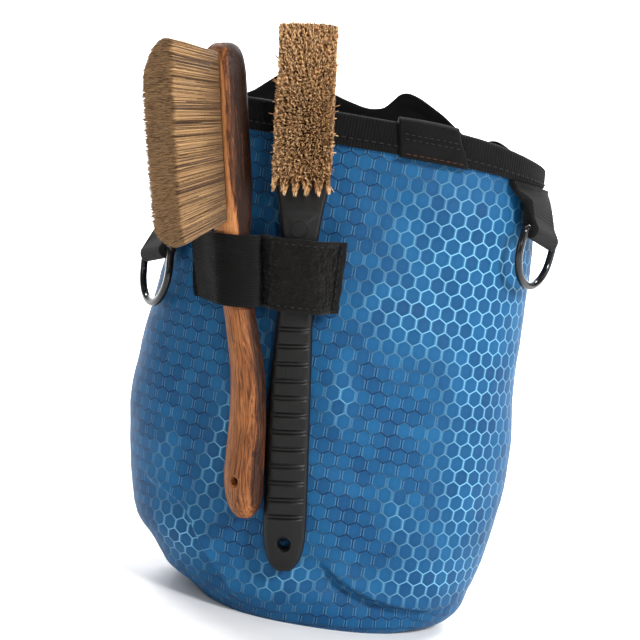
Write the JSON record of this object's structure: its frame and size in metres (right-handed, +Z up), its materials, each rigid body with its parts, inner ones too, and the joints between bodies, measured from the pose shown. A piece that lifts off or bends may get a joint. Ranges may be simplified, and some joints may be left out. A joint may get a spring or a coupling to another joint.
{
  "type": "climbing chalk bag with stowed brushes",
  "caption": "Soft oval ripstop chalk bag with a bound rim, black collar, side rings in webbing tabs, and an elastic front strap that holds a wooden and a plastic brush.",
  "frame": {"origin": "on the ground under the centre of the bag's mouth, on the underside of the base panel", "axes": "+Z up along the bag, -Y the front that carries the brushes, +X to the right as seen from the front"},
  "size_m": [0.1731, 0.1294, 0.2369],
  "materials": {
    "ripstop": "blue woven ripstop with a honeycomb of thicker threads, light sheen",
    "grosgrain": "black ribbed grosgrain tape, matte",
    "webbing": "black woven webbing and nylon, matte with a faint sheen",
    "ring": "glossy black moulded plastic",
    "elastic": "black woven elastic and looped fastener tape",
    "wood": "oiled reddish-brown hardwood with dark grain",
    "bristle": "tan natural bristles with darker tips",
    "plastic": "black moulded plastic, satin"
  },
  "bodies": {
    "bag": {"side_wall": "ripstop", "base_panel": "ripstop", "rim_binding": "grosgrain", "mouth_collar": "webbing", "rim_tab": "webbing", "side_tab_right": "webbing", "side_tab_left": "webbing", "brush_strap": "elastic", "strap_patch": "elastic", "wood_brush_handle": "wood", "wood_brush_bristles": "bristle", "grip_brush_handle": "plastic", "grip_brush_bristles": "bristle"},
    "ring_right": {"d_ring_right": "ring"},
    "ring_left": {"d_ring_left": "ring"}
  },
  "joints": [
    {"name": "right_ring_swing", "type": "hinge", "parent": "bag", "child": "ring_right", "pos_m": [0.07311, -0.02593, 0.174], "axis": [-0.5406, -0.8152, 0.2079], "range_deg": [-5, 120]},
    {"name": "left_ring_swing", "type": "hinge", "parent": "bag", "child": "ring_left", "pos_m": [-0.08131, -0.02224, 0.14], "axis": [-0.4539, 0.8664, -0.2079], "range_deg": [-5, 120]}
  ]
}
